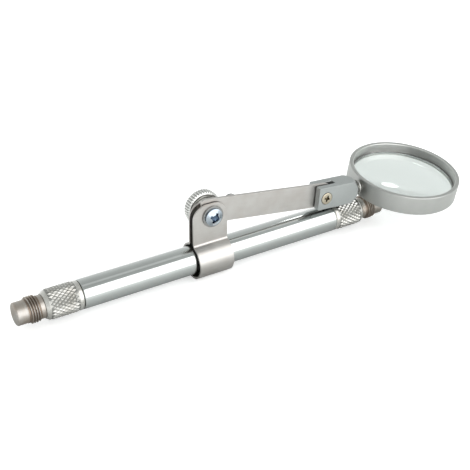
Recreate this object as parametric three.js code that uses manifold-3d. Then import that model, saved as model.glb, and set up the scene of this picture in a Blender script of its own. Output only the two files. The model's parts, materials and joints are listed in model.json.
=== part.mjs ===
// A dental handle with a folding magnifier.
// The handle is a tube with a knurled collar and a threaded plug at each end, onto which mirror
// heads screw. A sheet-metal clip slides on the tube; a folding arm turns between its two ears, and
// a small clevis block at the arm's end carries a swivelling ring with a convex glass.
// Millimetres. The origin is the centre of the near end face, +X runs along the handle to the far
// end, +Z points from the handle towards the clamp screw, and the screws lie along Y.

import * as THREE from 'three';
import { mergeVertices } from 'three/addons/utils/BufferGeometryUtils.js';
import Module from 'manifold-3d';

const wasm = await Module();
wasm.setup();

// ---------------------------------------------------------------- driving dimensions
const FIT = 0.06;              // gap between two fixed pieces that are pressed or screwed together
const PLAY = 0.15;             // gap all round between a turning piece and what it turns on

const TUBE_R = 4.0;            // handle tube, the size that everything else is in proportion to
const TUBE_WALL = 0.6;
const HANDLE_LENGTH = 114.2;   // from end face to end face
const END_LENGTH = 17.6;       // from an end face to the seam where the tube begins
const SPIGOT_LENGTH = 6.5;     // how far a collar reaches into the tube

const NOSE_R = 3.05;
const NOSE_LENGTH = 2.9;
const THREAD_R = 3.58;
const THREAD_ROOT_R = 3.16;
const THREAD_PITCH = 0.68;
const THREAD_TURNS = 5;
const NECK_R = 3.1;
const NECK_END = 7.5;
const KNURL_R = 4.1;
const KNURL_START = 8.6;
const KNURL_END = 16.3;
const BAND_R = 3.96;
const CORE_R = 2.65;           // shank of the threaded plug inside the collar
const NOSE_BEVEL = 0.25;
const THREAD_START = NOSE_LENGTH + 0.05;
const MOUTH_R = NECK_R + 0.2;  // open end of the collar, round the plug's neck
const RUN_OUT = 0.1;           // length of the small steps at the knurl's two ends
const SEAM_BEVEL = 0.2;        // both sides of the seam between a collar and the tube

const CLIP_START = 50.3;       // near edge of the clip
const CLIP_WIDTH = 10.5;
const CLIP_SHEET = 0.55;
const CLIP_Y = -0.3;           // the clip's middle plane, a little off the tube's axis
const LOOP_R = 5.2;            // outside of the loop, which is loose on the tube
const LOOP_Z = -0.15;
const EAR_HALF = 1.345;        // from the middle plane to an ear's outer face
const EAR_TOP = 16.6;
const EAR_CORNER_R = 4.0;
const EAR_BEND_R = 0.8;

const PIVOT_X = 56.2;          // the clamp screw, on which the arm folds
const PIVOT_Z = 12.85;
const SCREW_R = 1.45;
const SCREW_HEAD_R = 2.5;
const SCREW_HEAD_H = 1.3;
const SCREW_TIP_BEVEL = 0.3;
const SCREW_PROUD = 0.4;       // how far the screw's full width stands out of the thumb nut
const WASHER_R = 3.1;
const WASHER_T = 0.35;
const NUT_R = 5.1;
const NUT_HUB_R = 3.0;
const NUT_HUB_H = 1.1;
const NUT_RIM_H = 2.6;
const NUT_TEETH = 40;
const NUT_TOOTH_DEPTH = 0.25;

const ARM_ANGLE = 8.2;         // degrees below the handle's direction, folded down
const ARM_THICK = 0.95;
const ARM_HALF_H = 3.6;
const ARM_CENTRE = 1.1;        // the strip's centre line above the clamp screw
const ARM_LENGTH = 37.0;       // from the clamp screw to the clevis screw
const ARM_TAIL = 3.3;
const ARM_CORNER = 0.8;
const STUD_R = 2.15;
const STUD_H = 0.9;
const STUD_U = 6.25;           // along the arm from the clamp screw, and above it
const STUD_W = 2.7;

const BLOCK_TURN = -4.0;       // degrees, the block lifted relative to the arm
const BLOCK_BACK = 2.7;        // from the clevis screw to the open end of the fork
const BLOCK_FRONT = 11.35;
const BLOCK_HALF_W = 2.72;
const BLOCK_HALF_H = 3.4;
const SLOT_HALF = 0.775;
const SLOT_DEPTH = 3.95;
const DOME_LENGTH = 3.2;       // the rounded front of the block
const CLEVIS_SCREW_R = 0.95;
const CLEVIS_HEAD_R = 1.8;
const HEAD_SINK = 0.55;        // depth of the recess under the clevis screw's head
const HEAD_PROUD = 0.25;
const TAIL_SUNK = 0.15;
const STEM_R = 1.35;
const STEM_GROOVE = 8.9;       // where the grub screw holds the stem
const GROOVE_HALF = 1.15;
const STEM_START = STEM_GROOVE - 3.5;
const STEM_WASHER_START = 12.46; // pressed on the stem between the block and the ring
const STEM_WASHER_R = 2.15;
const STEM_WASHER_T = 0.4;
const GRUB_R = 0.95;
const GRUB_SUNK = 0.25;

const RING_CENTRE = 30.3;      // from the clevis screw to the middle of the glass
const RING_TILT = 6.0;         // degrees, the ring swivelled about its stem
const RING_R = 16.65;
const RING_HALF_H = 2.85;
const RING_BORE_R = 15.4;
const RING_LIP_R = 14.95;
const RING_BEVEL = 0.3;
const GLASS_R = 15.27;
const GLASS_EDGE_TOP = -0.2;
const GLASS_EDGE_BOTTOM = -2.2;
const GLASS_RISE = 1.6;
const GLASS_HOLLOW = 0.22;     // how far the middle of the lower face lies above its rim
const GLASS_SEAT_GAP = 0.12;   // clearance between the glass's lower rim and its seat
const WIRE_WIDTH = 0.4;        // the split ring above the glass
const WIRE_HEIGHT = 0.4;
const WIRE_GAP = 1.6;

// ---------------------------------------------------------------- materials
const metal = (color, roughness) => new THREE.MeshStandardMaterial({ color, roughness, metalness: 1 });
const chrome = metal(0xd9dcda, 0.12);
const nickel = metal(0xb9b8b0, 0.35);
const satin = metal(0xbcb6b0, 0.45);
const blockMetal = metal(0xa9afae, 0.5);
const ringMetal = metal(0xa5a5a0, 0.5);
const zinc = metal(0xc9d3da, 0.25);
const brass = metal(0xc8b98e, 0.35);
const springSteel = metal(0x8f8f8c, 0.3);
const glass = new THREE.MeshStandardMaterial({ color: 0xe3e8e4, roughness: 0.03, metalness: 0 });

// ---------------------------------------------------------------- geometry helpers
const rad = THREE.MathUtils.degToRad;

// A closed turned piece. The profile is a list of [radius, height] running anticlockwise in the
// radius-height plane; the axis of turning is +Z unless another is named.
function turned(profile, segments, axis = 'z') {
  const points = profile.map(([r, h]) => new THREE.Vector2(r, h));
  if (profile[0][0] > 0) points.push(points[0].clone());
  const geometry = new THREE.LatheGeometry(points, segments);
  if (axis === 'x') geometry.rotateZ(-Math.PI / 2);
  if (axis === 'z') geometry.rotateX(Math.PI / 2);
  return geometry;
}

// A solid rod or a disc along an axis, from one height to another.
function rod(radius, from, to, segments, axis) {
  return turned([[0, from], [radius, from], [radius, to], [0, to]], segments, axis);
}

// A flat outline in the XZ plane, thickened along Y about the plane y = 0.
function plate(shape, thickness, curveSegments = 8) {
  const geometry = new THREE.ExtrudeGeometry(shape, { depth: thickness, bevelEnabled: false, curveSegments });
  geometry.translate(0, 0, -thickness / 2);
  geometry.rotateX(Math.PI / 2);
  return geometry;
}

function solid(geometry) {
  const bare = geometry.clone();
  bare.deleteAttribute('normal');
  bare.deleteAttribute('uv');
  const merged = mergeVertices(bare, 1e-5);
  const vertProperties = new Float32Array(merged.attributes.position.array);
  const triVerts = new Uint32Array(merged.index.array);
  return new wasm.Manifold(new wasm.Mesh({ numProp: 3, vertProperties, triVerts }));
}

function fromSolid(body) {
  const mesh = body.getMesh();
  const geometry = new THREE.BufferGeometry();
  geometry.setAttribute('position', new THREE.BufferAttribute(new Float32Array(mesh.vertProperties), 3));
  geometry.setIndex(new THREE.BufferAttribute(new Uint32Array(mesh.triVerts), 1));
  return geometry;
}

function cut(base, ...tools) {
  return fromSolid(tools.reduce((body, tool) => body.subtract(solid(tool)), solid(base)));
}

function common(base, ...tools) {
  return fromSolid(tools.reduce((body, tool) => body.intersect(solid(tool)), solid(base)));
}

function piece(name, geometry, material, parent) {
  const mesh = new THREE.Mesh(geometry, material);
  mesh.name = name;
  parent.add(mesh);
  return mesh;
}

function groupAt(parent, x, y, z) {
  const group = new THREE.Group();
  group.position.set(x, y, z);
  parent.add(group);
  return group;
}

// ---------------------------------------------------------------- handle
const HANDLE_SIDES = 40;

function tubeGeometry() {
  const from = END_LENGTH + FIT;
  const to = HANDLE_LENGTH - END_LENGTH - FIT;
  return turned([
    [TUBE_R - TUBE_WALL, from], [TUBE_R - SEAM_BEVEL, from], [TUBE_R, from + SEAM_BEVEL],
    [TUBE_R, to - SEAM_BEVEL], [TUBE_R - SEAM_BEVEL, to], [TUBE_R - TUBE_WALL, to],
  ], HANDLE_SIDES, 'x');
}

// The plug that a mirror head screws onto: a plain nose, a thread, a neck and a shank.
function plugGeometry() {
  const profile = [[0, 0], [NOSE_R - NOSE_BEVEL, 0], [NOSE_R, NOSE_BEVEL], [NOSE_R, NOSE_LENGTH]];
  for (let turn = 0; turn < THREAD_TURNS; turn += 1) {
    const root = THREAD_START + turn * THREAD_PITCH;
    profile.push([THREAD_ROOT_R, root], [THREAD_R, root + THREAD_PITCH / 2]);
  }
  const threadEnd = THREAD_START + THREAD_TURNS * THREAD_PITCH;
  profile.push([NECK_R, threadEnd], [NECK_R, NECK_END - FIT], [CORE_R, NECK_END - FIT]);
  profile.push([CORE_R, KNURL_END], [0, KNURL_END]);
  return turned(profile, HANDLE_SIDES, 'x');
}

// The knurled collar, with a bore for the plug and a spigot that fills the end of the tube.
function collarGeometry() {
  const bore = CORE_R + FIT;
  const spigot = TUBE_R - TUBE_WALL - FIT;
  return turned([
    [bore, NECK_END], [MOUTH_R, NECK_END], [TUBE_R, KNURL_START - RUN_OUT], [KNURL_R, KNURL_START],
    [KNURL_R, KNURL_END], [BAND_R, KNURL_END + RUN_OUT], [BAND_R, END_LENGTH - SEAM_BEVEL],
    [BAND_R - SEAM_BEVEL, END_LENGTH], [spigot, END_LENGTH], [spigot, END_LENGTH + SPIGOT_LENGTH],
    [bore, END_LENGTH + SPIGOT_LENGTH],
  ], HANDLE_SIDES, 'x');
}

function addHandle(parent) {
  piece('handle_tube', tubeGeometry(), chrome, parent);
  const farEnd = groupAt(parent, HANDLE_LENGTH, 0, 0);
  farEnd.rotation.z = Math.PI;
  for (const [side, end] of [['near', parent], ['far', farEnd]]) {
    piece(`${side}_threaded_plug`, plugGeometry(), nickel, end);
    piece(`${side}_knurled_collar`, collarGeometry(), nickel, end);
  }
}

// ---------------------------------------------------------------- clip
// The strip's section across the handle, drawn with u towards -Y and v up: two ears close together
// at the top, which bend outwards into a loop around the tube.
function clipSection() {
  const reach = LOOP_R + EAR_BEND_R;
  const bendU = EAR_HALF + EAR_BEND_R;
  const bendV = LOOP_Z + Math.sqrt(reach * reach - bendU * bendU);
  const bendAngle = Math.atan2(bendV - LOOP_Z, bendU);
  const innerBend = EAR_BEND_R + CLIP_SHEET;
  const innerLoop = LOOP_R - CLIP_SHEET;
  const innerEar = EAR_HALF - CLIP_SHEET;
  const shape = new THREE.Shape();
  shape.moveTo(EAR_HALF, EAR_TOP);
  shape.lineTo(innerEar, EAR_TOP);
  shape.lineTo(innerEar, bendV);
  shape.absarc(bendU, bendV, innerBend, Math.PI, Math.PI + bendAngle, false);
  shape.absarc(0, LOOP_Z, innerLoop, bendAngle, Math.PI - bendAngle, true);
  shape.absarc(-bendU, bendV, innerBend, -bendAngle, 0, false);
  shape.lineTo(-innerEar, EAR_TOP);
  shape.lineTo(-EAR_HALF, EAR_TOP);
  shape.lineTo(-EAR_HALF, bendV);
  shape.absarc(-bendU, bendV, EAR_BEND_R, 0, -bendAngle, true);
  shape.absarc(0, LOOP_Z, LOOP_R, Math.PI - bendAngle, bendAngle, false);
  shape.absarc(bendU, bendV, EAR_BEND_R, Math.PI + bendAngle, Math.PI, true);
  return shape;
}

// The strip seen from the front: square at the bottom, with two large round corners at the top.
function clipOutline() {
  const left = 0;
  const right = CLIP_WIDTH;
  const bottom = LOOP_Z - LOOP_R - 1;
  const r = EAR_CORNER_R;
  const shape = new THREE.Shape();
  shape.moveTo(left, bottom);
  shape.lineTo(right, bottom);
  shape.lineTo(right, EAR_TOP - r);
  shape.absarc(right - r, EAR_TOP - r, r, 0, Math.PI / 2, false);
  shape.lineTo(left + r, EAR_TOP);
  shape.absarc(left + r, EAR_TOP - r, r, Math.PI / 2, Math.PI, false);
  return shape;
}

function clipGeometry() {
  const strip = new THREE.ExtrudeGeometry(clipSection(),
    { depth: CLIP_WIDTH, bevelEnabled: false, curveSegments: 14 });
  strip.rotateX(Math.PI / 2);
  strip.rotateZ(Math.PI / 2);
  const outline = plate(clipOutline(), 3 * LOOP_R);
  const hole = rod(SCREW_R + FIT, -LOOP_R, LOOP_R, 24, 'y');
  hole.translate(PIVOT_X - CLIP_START, 0, PIVOT_Z);
  return cut(common(strip, outline), hole);
}

// ---------------------------------------------------------------- clamp screw and thumb nut
const HEAD_SEAT = EAR_HALF + WASHER_T + 2 * FIT;
const NUT_FACE = HEAD_SEAT + FIT;
const NUT_END = NUT_FACE + NUT_HUB_H + NUT_RIM_H;

function clampScrewGeometry() {
  const top = HEAD_SEAT + SCREW_HEAD_H;
  const tip = NUT_END + SCREW_PROUD;
  const end = tip + SCREW_TIP_BEVEL;
  const dome = [[0, 0], [0.55, 0.06], [0.85, 0.31], [1, 0.65]];
  return turned([
    ...dome.map(([r, h]) => [r * SCREW_HEAD_R, h * SCREW_HEAD_H - top]),
    [SCREW_HEAD_R, -HEAD_SEAT], [SCREW_R, -HEAD_SEAT],
    [SCREW_R, tip], [SCREW_R - SCREW_TIP_BEVEL, end], [0, end],
  ], 24, 'y');
}

function washerGeometry() {
  const bore = SCREW_R + FIT;
  return turned([[bore, 0], [WASHER_R, 0], [WASHER_R, WASHER_T], [bore, WASHER_T]], 24, 'y');
}

// A thumb nut: a straight-knurled rim with a smooth hub that bears on the washer.
function thumbNutGeometry() {
  const rim = new THREE.Shape();
  for (let step = 0; step < 2 * NUT_TEETH; step += 1) {
    const angle = step * Math.PI / NUT_TEETH;
    const r = step % 2 ? NUT_R - NUT_TOOTH_DEPTH : NUT_R;
    const draw = step ? 'lineTo' : 'moveTo';
    rim[draw](r * Math.cos(angle), r * Math.sin(angle));
  }
  const disc = plate(rim, NUT_RIM_H);
  disc.translate(0, NUT_FACE + NUT_HUB_H + NUT_RIM_H / 2, 0);
  const hub = rod(NUT_HUB_R, NUT_FACE, NUT_FACE + NUT_HUB_H + 0.5, 32, 'y');
  const bore = rod(SCREW_R + PLAY, 0, NUT_END + 1, 24, 'y');
  return fromSolid(solid(disc).add(solid(hub)).subtract(solid(bore)));
}

// ---------------------------------------------------------------- folding arm
// A flat strip with its pivot hole nearer the lower edge and its other end round in the clevis.
function armGeometry() {
  const low = ARM_CENTRE - ARM_HALF_H;
  const high = ARM_CENTRE + ARM_HALF_H;
  const shape = new THREE.Shape();
  shape.moveTo(-ARM_TAIL, low + ARM_CORNER);
  shape.lineTo(ARM_CORNER - ARM_TAIL, low);
  shape.lineTo(ARM_LENGTH, low);
  shape.absarc(ARM_LENGTH, ARM_CENTRE, ARM_HALF_H, -Math.PI / 2, Math.PI / 2, false);
  shape.lineTo(ARM_CORNER - ARM_TAIL, high);
  shape.lineTo(-ARM_TAIL, high - ARM_CORNER);
  const pivotHole = rod(SCREW_R + PLAY, -ARM_THICK, ARM_THICK, 24, 'y');
  const clevisHole = rod(CLEVIS_SCREW_R + PLAY, -ARM_THICK, ARM_THICK, 20, 'y');
  clevisHole.translate(ARM_LENGTH, 0, ARM_CENTRE);
  return cut(plate(shape, ARM_THICK, 10), pivotHole, clevisHole);
}

// A round stud on the back of the arm, which meets the rear ear when the arm is fully raised.
function stopStudGeometry() {
  const seat = ARM_THICK / 2 + FIT;
  return turned([
    [0, seat], [STUD_R, seat], [STUD_R, seat + 0.7 * STUD_H],
    [0.8 * STUD_R, seat + 0.95 * STUD_H], [0, seat + STUD_H],
  ], 24, 'y');
}

// ---------------------------------------------------------------- clevis block
// A square bar with a slot for the arm; its front end is turned down to a blunt dome.
function blockGeometry() {
  const length = BLOCK_BACK + BLOCK_FRONT;
  const middle = (BLOCK_FRONT - BLOCK_BACK) / 2;
  const bar = new THREE.BoxGeometry(length, 2 * BLOCK_HALF_W, 2 * BLOCK_HALF_H);
  bar.translate(middle, 0, 0);
  const front = [[4.5, 1], [4.2, 0.69], [3.7, 0.375], [3.1, 0.14], [2.5, 0]];
  const dome = turned([
    [0, -BLOCK_BACK - 1], [front[0][0], -BLOCK_BACK - 1],
    ...front.map(([r, share]) => [r, BLOCK_FRONT - share * DOME_LENGTH]),
    [0, BLOCK_FRONT],
  ], 40, 'x');
  const slot = new THREE.BoxGeometry(2 * SLOT_DEPTH, 2 * SLOT_HALF, 3 * BLOCK_HALF_H);
  const screwHole = rod(CLEVIS_SCREW_R + FIT, -2 * BLOCK_HALF_W, 2 * BLOCK_HALF_W, 20, 'y');
  const headSink = rod(CLEVIS_HEAD_R + FIT, -BLOCK_HALF_W - 1, HEAD_SINK - BLOCK_HALF_W, 20, 'y');
  const stemBore = rod(STEM_R + PLAY, STEM_START - 2 * PLAY, BLOCK_FRONT + 1, 24, 'x');
  const grubHole = rod(GRUB_R + FIT, -BLOCK_HALF_H - 1, -STEM_R / 2, 20, 'z');
  grubHole.translate(STEM_GROOVE, 0, 0);
  return cut(common(bar, dome), slot, screwHole, headSink, stemBore, grubHole);
}

function clevisScrewGeometry() {
  const seat = HEAD_SINK - BLOCK_HALF_W - 2 * FIT;
  const top = -BLOCK_HALF_W - HEAD_PROUD;
  const tail = BLOCK_HALF_W - TAIL_SUNK;
  return turned([
    [0, top], [0.8 * CLEVIS_HEAD_R, top + 0.15 * HEAD_PROUD], [CLEVIS_HEAD_R, top + HEAD_PROUD],
    [CLEVIS_HEAD_R, seat], [CLEVIS_SCREW_R, seat], [CLEVIS_SCREW_R, tail], [0, tail],
  ], 20, 'y');
}

function stemWasherGeometry() {
  const bore = STEM_R + FIT;
  const from = STEM_WASHER_START;
  const to = from + STEM_WASHER_T;
  return turned([[bore, from], [STEM_WASHER_R, from], [STEM_WASHER_R, to], [bore, to]], 24, 'x');
}

// The screw that holds the stem in the block; its tip stands in the stem's groove.
function grubScrewGeometry() {
  const tip = 2 * FIT - STEM_R;
  const body = rod(GRUB_R, GRUB_SUNK - BLOCK_HALF_H, tip, 20, 'z');
  body.translate(STEM_GROOVE, 0, 0);
  return body;
}

// ---------------------------------------------------------------- swivelling ring and glass
const RING_SIDES = 72;
const PIN_R = 1.0;             // the stem's end, fixed in the ring's wall
const GROOVE_R = 0.95;
const PIN_END = RING_CENTRE - RING_BORE_R - 0.45;

function stemGeometry() {
  const shoulder = RING_CENTRE - RING_R - FIT;
  const from = STEM_GROOVE - GROOVE_HALF;
  const to = STEM_GROOVE + GROOVE_HALF;
  return turned([
    [0, STEM_START], [STEM_R, STEM_START], [STEM_R, from], [GROOVE_R, from], [GROOVE_R, to],
    [STEM_R, to], [STEM_R, shoulder], [PIN_R, shoulder], [PIN_R, PIN_END], [0, PIN_END],
  ], 24, 'x');
}

function ringGeometry() {
  const seat = GLASS_EDGE_BOTTOM - GLASS_SEAT_GAP;
  const side = RING_HALF_H - RING_BEVEL;
  const wall = turned([
    [RING_LIP_R, -RING_HALF_H], [RING_R - RING_BEVEL, -RING_HALF_H], [RING_R, -side],
    [RING_R, side], [RING_R - RING_BEVEL, RING_HALF_H],
    [RING_BORE_R + RING_BEVEL / 2, RING_HALF_H], [RING_BORE_R, RING_HALF_H - RING_BEVEL / 2],
    [RING_BORE_R, seat], [RING_LIP_R, seat],
  ], RING_SIDES, 'z');
  const pinHole = rod(PIN_R + FIT, -RING_R - 1, PIN_END + FIT - RING_CENTRE, 20, 'x');
  return cut(wall, pinHole);
}

// The glass has a thick edge, a convex upper face and a slightly hollow lower one.
function glassGeometry() {
  const steps = 7;
  const sag = (r, depth) => depth * (1 - (r / GLASS_R) ** 2);
  const profile = [];
  for (let i = 0; i <= steps; i += 1) {
    const r = GLASS_R * i / steps;
    profile.push([r, GLASS_EDGE_BOTTOM + sag(r, GLASS_HOLLOW)]);
  }
  for (let i = steps; i >= 0; i -= 1) {
    const r = GLASS_R * i / steps;
    profile.push([r, GLASS_EDGE_TOP + sag(r, GLASS_RISE)]);
  }
  return turned(profile, RING_SIDES, 'z');
}

// The split ring that holds the glass down on its seat.
function retainingRingGeometry() {
  const outer = RING_BORE_R - FIT;
  const inner = outer - WIRE_WIDTH;
  const glassTop = GLASS_EDGE_TOP + GLASS_RISE * (1 - (inner / GLASS_R) ** 2);
  const from = glassTop + FIT;
  const to = from + WIRE_HEIGHT;
  const band = turned([[inner, from], [outer, from], [outer, to], [inner, to]], RING_SIDES, 'z');
  const gap = new THREE.BoxGeometry(4 * WIRE_WIDTH, WIRE_GAP, 4 * WIRE_HEIGHT);
  gap.translate(-outer, 0, from);
  return cut(band, gap);
}

// ---------------------------------------------------------------- the whole object
const object = new THREE.Group();
addHandle(object);

const clip = groupAt(object, CLIP_START, CLIP_Y, 0);
piece('tube_clip', clipGeometry(), satin, clip);

const clamp = groupAt(object, PIVOT_X, CLIP_Y, PIVOT_Z);
piece('clamp_screw', clampScrewGeometry(), zinc, clamp);
piece('screw_washer', washerGeometry(), springSteel, groupAt(clamp, 0, -EAR_HALF - FIT - WASHER_T, 0));
piece('nut_washer', washerGeometry(), springSteel, groupAt(clamp, 0, EAR_HALF + FIT, 0));
piece('thumb_nut', thumbNutGeometry(), nickel, clamp);

const arm = groupAt(clamp, 0, 0, 0);
arm.rotation.y = rad(ARM_ANGLE);
piece('folding_arm', armGeometry(), satin, arm);
piece('stop_stud', stopStudGeometry(), springSteel, groupAt(arm, STUD_U, 0, STUD_W));

const clevis = groupAt(arm, ARM_LENGTH, 0, ARM_CENTRE);
clevis.rotation.y = rad(BLOCK_TURN);
piece('clevis_block', blockGeometry(), blockMetal, clevis);
piece('clevis_screw', clevisScrewGeometry(), brass, clevis);
piece('stem_grub_screw', grubScrewGeometry(), springSteel, clevis);

const swivel = groupAt(clevis, 0, 0, 0);
swivel.rotation.x = rad(RING_TILT);
piece('swivel_stem', stemGeometry(), nickel, swivel);
piece('stem_washer', stemWasherGeometry(), springSteel, swivel);

const head = groupAt(swivel, RING_CENTRE, 0, 0);
piece('lens_ring', ringGeometry(), ringMetal, head);
piece('magnifier_glass', glassGeometry(), glass, head);
piece('retaining_ring', retainingRingGeometry(), springSteel, head);

export default object;
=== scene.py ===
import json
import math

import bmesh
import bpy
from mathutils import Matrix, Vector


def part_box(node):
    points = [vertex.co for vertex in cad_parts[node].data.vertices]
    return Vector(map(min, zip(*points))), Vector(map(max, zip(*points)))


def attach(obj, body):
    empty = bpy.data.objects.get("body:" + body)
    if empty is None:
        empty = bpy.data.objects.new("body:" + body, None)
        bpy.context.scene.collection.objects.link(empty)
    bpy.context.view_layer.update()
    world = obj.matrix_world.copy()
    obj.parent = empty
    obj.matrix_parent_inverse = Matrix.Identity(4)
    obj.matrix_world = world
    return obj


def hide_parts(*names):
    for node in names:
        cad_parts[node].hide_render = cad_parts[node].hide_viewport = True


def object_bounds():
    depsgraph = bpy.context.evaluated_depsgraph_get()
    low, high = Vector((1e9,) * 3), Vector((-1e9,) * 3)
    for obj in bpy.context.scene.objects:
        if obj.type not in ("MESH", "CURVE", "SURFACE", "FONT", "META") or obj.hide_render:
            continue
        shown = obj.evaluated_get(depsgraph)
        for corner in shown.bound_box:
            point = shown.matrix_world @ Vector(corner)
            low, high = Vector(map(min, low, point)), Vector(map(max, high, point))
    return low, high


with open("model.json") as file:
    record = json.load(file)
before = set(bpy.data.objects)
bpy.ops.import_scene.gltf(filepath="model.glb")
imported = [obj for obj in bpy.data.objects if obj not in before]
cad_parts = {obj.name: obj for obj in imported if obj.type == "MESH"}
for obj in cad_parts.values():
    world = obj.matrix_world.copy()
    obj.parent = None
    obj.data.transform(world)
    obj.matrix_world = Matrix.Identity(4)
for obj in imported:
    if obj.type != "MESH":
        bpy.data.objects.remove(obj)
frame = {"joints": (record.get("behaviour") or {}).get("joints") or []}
cad_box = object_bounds()

# Looks for a dental mirror handle with a folding magnifier.
#
# Every CAD node is replaced by a detailed piece of the same size in the same place. A piece is
# drawn in millimetres, in the local frame of the joint that it turns with, as a pair (vertices,
# faces); build() turns that into a Blender object in metres. Local X runs along the handle, the
# arm or the stem, local Y along the screws, and local Z up or, in the ring, through the glass.

MM = 0.001
scene = bpy.context.scene
joints = {joint["name"]: joint for joint in frame["joints"]}


# ---------------------------------------------------------------- sizes, in millimetres
FIT = 0.06                     # gap between two fixed pieces
PLAY = 0.15                    # gap round a turning piece


def box_mm(node):
    low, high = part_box(node)
    return low / MM, high / MM


tube_low, tube_high = box_mm("handle_tube")
collar_low, collar_high = box_mm("near_knurled_collar")
clip_low, clip_high = box_mm("tube_clip")
screw_low, screw_high = box_mm("clamp_screw")
nut_low, nut_high = box_mm("thumb_nut")

HANDLE_LENGTH = box_mm("far_threaded_plug")[1].x
TUBE_R = tube_high.z
TUBE_WALL = 0.6
END_LENGTH = 17.6              # from an end face to the seam where the tube begins
NOSE_R = 3.05
NOSE_LENGTH = 2.9
THREAD_R = 3.58
THREAD_ROOT_R = 3.16
THREAD_PITCH = 0.68
THREAD_TURNS = 4               # full turns; the run-out at the ends takes a fifth pitch
NECK_R = 3.1
NECK_END = collar_low.x
CORE_R = 2.65
SPIGOT_END = collar_high.x
KNURL_R = collar_high.z
KNURL_START = 8.6
KNURL_END = 16.3
KNURL_ROWS = 10                # half diamonds along the collar
KNURL_COLUMNS = 48             # half diamonds around it
KNURL_DEPTH = 0.27
BAND_R = 3.96
END_SIDES = 96
SEAM_BEVEL = 0.3

SHEET = 0.55
CLIP_WIDTH = clip_high.x - clip_low.x
LOOP_R = (clip_high.y - clip_low.y) / 2
LOOP_Z = clip_low.z + LOOP_R
EAR_TOP = clip_high.z
EAR_HALF = 1.345
EAR_CORNER_R = 4.0
EAR_BEND_R = 0.8

SCREW_R = 1.45
SCREW_HEAD_H = 1.3
SCREW_HEAD_R = 2.5
WASHER_R = 3.1
WASHER_T = 0.35
NUT_HUB_R = 3.0
NUT_HUB_H = 1.1
NUT_TEETH = 40
NUT_R = (nut_high.z - nut_low.z) / 2

ARM_THICK = 0.95
ARM_HALF_H = 3.6
ARM_CENTRE = 1.1
ARM_TAIL = 3.3
STUD_R = 2.15
STUD_H = 0.9
STUD_U = 6.25
STUD_W = 2.7

BLOCK_BACK = 2.7
BLOCK_FRONT = 11.35
BLOCK_HALF_W = 2.72
BLOCK_HALF_H = 3.4
SLOT_HALF = 0.775
SLOT_DEPTH = 3.95
DOME_R = 4.5                   # where the block's rounded front starts
DOME_LENGTH = 3.2
CLEVIS_SCREW_R = 0.95
CLEVIS_HEAD_R = 1.8
HEAD_SINK = 0.55               # depth of the recess under the clevis screw's head
HEAD_PROUD = 0.25              # how far that head stands out of the block
TAIL_SUNK = 0.15
STEM_R = 1.35
STEM_GROOVE = 8.9              # middle of the groove that the grub screw stands in
GROOVE_HALF = 1.15
STEM_START = 5.4
STEM_WASHER_START = 12.46
STEM_WASHER_R = 2.15
STEM_WASHER_T = 0.4
GRUB_R = 0.95
GRUB_SUNK = 0.25
PIN_R = 1.0
PIN_SHORT = 0.45               # from the pin's end to the ring's bore

RING_TILT = 6.0                # degrees, about the stem
RING_R = 16.65
RING_HALF_H = 2.85
RING_BORE_R = 15.4
RING_LIP_R = 14.95
GLASS_R = 15.27
GLASS_EDGE_TOP = -0.2
GLASS_EDGE_BOTTOM = -2.2
GLASS_RISE = 1.6
GLASS_HOLLOW = 0.22            # how far the middle of the lower face lies above its rim
GLASS_SEAT_GAP = 0.12
WIRE_WIDTH = 0.4
WIRE_HEIGHT = 0.4
WIRE_GAP = 1.6

# ---------------------------------------------------------------- places
pivot = Vector(joints["arm_fold"]["pos_m"])
clevis_pin = Vector(joints["clevis_tilt"]["pos_m"])
stem_axis = Vector(joints["lens_swivel"]["axis"]).normalized()
ring_low, ring_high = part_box("lens_ring")
ring_centre = (ring_low + ring_high) / 2
RING_CENTRE = (ring_centre - clevis_pin).length / MM


def frame_along(origin, direction):
    """A frame at origin with X along direction and Y level."""
    x = direction.normalized()
    y = Vector((0, 0, 1)).cross(x).normalized()
    z = x.cross(y)
    return Matrix.Translation(origin) @ Matrix((x, y, z)).transposed().to_4x4()


arm_span = clevis_pin - pivot
ARM_LENGTH = math.sqrt((arm_span.length / MM) ** 2 - ARM_CENTRE ** 2)
arm_lead = Matrix.Rotation(math.atan2(ARM_CENTRE, ARM_LENGTH), 4, "Y")

HANDLE = Matrix.Identity(4)
FAR_END = Matrix.Translation((HANDLE_LENGTH * MM, 0, 0)) @ Matrix.Rotation(math.pi, 4, "Z")
CLIP = Matrix.Translation((clip_low.x * MM, pivot.y, 0))
CLAMP = Matrix.Translation(pivot)
ARM = frame_along(pivot, arm_span) @ arm_lead
CLEVIS = frame_along(clevis_pin, stem_axis)
SWIVEL = CLEVIS @ Matrix.Rotation(math.radians(RING_TILT), 4, "X")
HEAD = SWIVEL @ Matrix.Translation((RING_CENTRE * MM, 0, 0))

clamp_front = screw_low.y - pivot.y / MM
clamp_tip = screw_high.y - pivot.y / MM
NUT_FACE = nut_low.y - pivot.y / MM
NUT_END = nut_high.y - pivot.y / MM
clevis_front = -BLOCK_HALF_W - HEAD_PROUD


# ---------------------------------------------------------------- shape helpers
TO_AXIS = {
    "x": Matrix.Rotation(math.pi / 2, 4, "Y"),
    "y": Matrix.Rotation(-math.pi / 2, 4, "X"),
    "z": Matrix.Identity(4),
}


def moved(shape, matrix):
    verts, faces = shape
    return [matrix @ Vector(v) for v in verts], faces


def joined(*shapes):
    verts, faces = [], []
    for part_verts, part_faces in shapes:
        base = len(verts)
        verts += list(part_verts)
        faces += [[base + i for i in face] for face in part_faces]
    return verts, faces


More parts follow.
